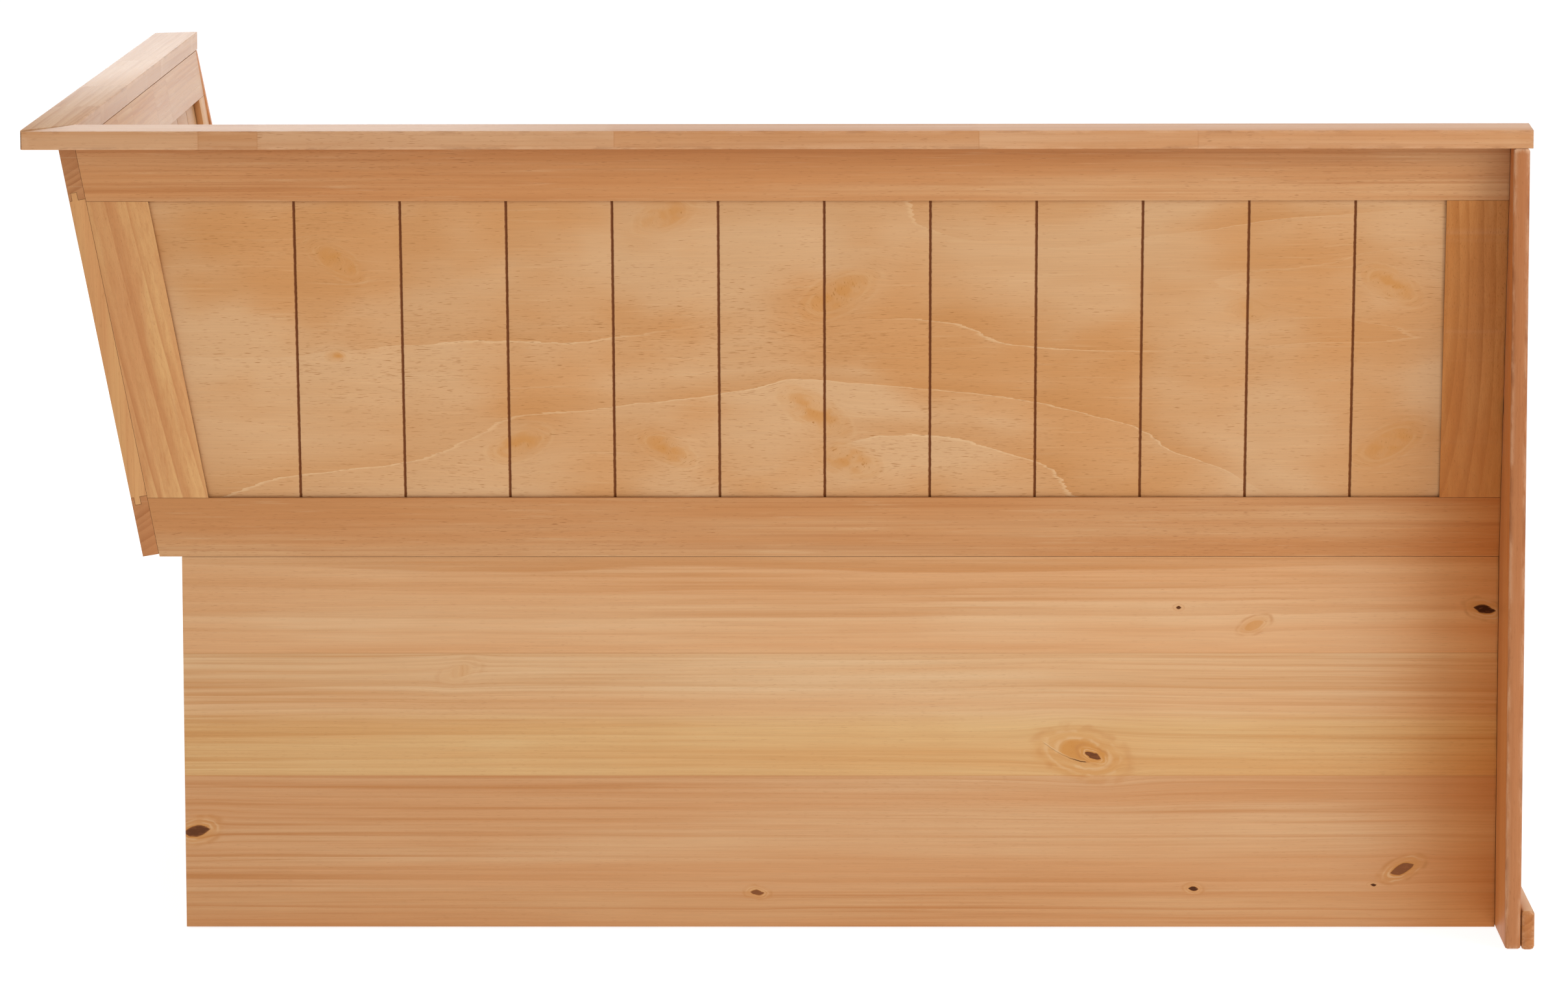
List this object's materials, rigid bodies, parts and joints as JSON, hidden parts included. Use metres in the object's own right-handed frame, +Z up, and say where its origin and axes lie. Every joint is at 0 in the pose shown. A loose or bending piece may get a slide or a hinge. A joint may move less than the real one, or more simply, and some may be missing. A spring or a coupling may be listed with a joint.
{
  "type": "corner bench",
  "caption": "Stained pine corner bench: two chest wings with lift-up seat lids, leaning frame-and-panel backrests with grooved panels, mitred caps and swept end panels.",
  "frame": {"origin": "bottom centre of the bench's box, on the floor", "axes": "+X along the long wing away from the corner, +Y along the short wing away from the corner, +Z up; the walls are on the -X and -Y sides"},
  "size_m": [1.5664, 1.3812, 0.86],
  "materials": {
    "pine": "stained pine, satin oil",
    "raw_pine": "unfinished pine",
    "plywood": "stained rotary-cut plywood, satin",
    "steel": "zinc-plated, satin"
  },
  "bodies": {
    "bench": {"long_cap": "pine", "short_cap": "pine", "long_top_rail": "pine", "long_bottom_rail": "pine", "long_corner_stile": "pine", "long_end_stile": "pine", "long_grooved_panel": "plywood", "short_top_rail": "pine", "short_bottom_rail": "pine", "short_corner_stile": "pine", "short_end_stile": "pine", "short_grooved_panel": "plywood", "long_end_panel": "pine", "short_end_panel": "pine", "long_back_board": "pine", "long_front_board": "pine", "short_back_board": "pine", "short_front_board": "pine", "divider": "raw_pine", "corner_end_wall": "pine", "inner_wall": "raw_pine", "long_front_plinth": "pine", "long_end_plinth": "pine", "short_front_plinth": "pine", "short_end_plinth": "pine", "long_chest_floor": "plywood", "short_chest_floor": "plywood", "long_floor_cleat_rear": "raw_pine", "long_floor_cleat_front": "raw_pine", "short_floor_cleat_rear": "raw_pine", "short_floor_cleat_front": "raw_pine", "corner_bearer": "raw_pine", "long_bearer": "raw_pine", "short_bearer": "raw_pine", "long_seat_cleat": "raw_pine", "short_seat_cleat": "raw_pine", "corner_seat_board": "pine", "long_hinge_rail": "pine", "short_hinge_rail": "pine", "long_hinge_corner_fixed_leaf": "steel", "long_hinge_corner_pin": "steel", "long_hinge_end_fixed_leaf": "steel", "long_hinge_end_pin": "steel", "short_hinge_corner_fixed_leaf": "steel", "short_hinge_corner_pin": "steel", "short_hinge_end_fixed_leaf": "steel", "short_hinge_end_pin": "steel"},
    "long_lid": {"long_seat_lid": "pine", "long_lid_batten_corner": "raw_pine", "long_lid_batten_end": "raw_pine", "long_hinge_corner_moving_leaf": "steel", "long_hinge_end_moving_leaf": "steel"},
    "short_lid": {"short_seat_lid": "pine", "short_lid_batten_corner": "raw_pine", "short_lid_batten_end": "raw_pine", "short_hinge_corner_moving_leaf": "steel", "short_hinge_end_moving_leaf": "steel"}
  },
  "joints": [
    {"name": "long_lid_hinge", "type": "hinge", "parent": "bench", "child": "long_lid", "pos_m": [0.25, -0.5052, 0.4433], "axis": [1, 0, 0], "range_deg": [0, 108]},
    {"name": "short_lid_hinge", "type": "hinge", "parent": "bench", "child": "short_lid", "pos_m": [-0.5977, 0.26, 0.4433], "axis": [0, -1, 0], "range_deg": [0, 108]}
  ]
}
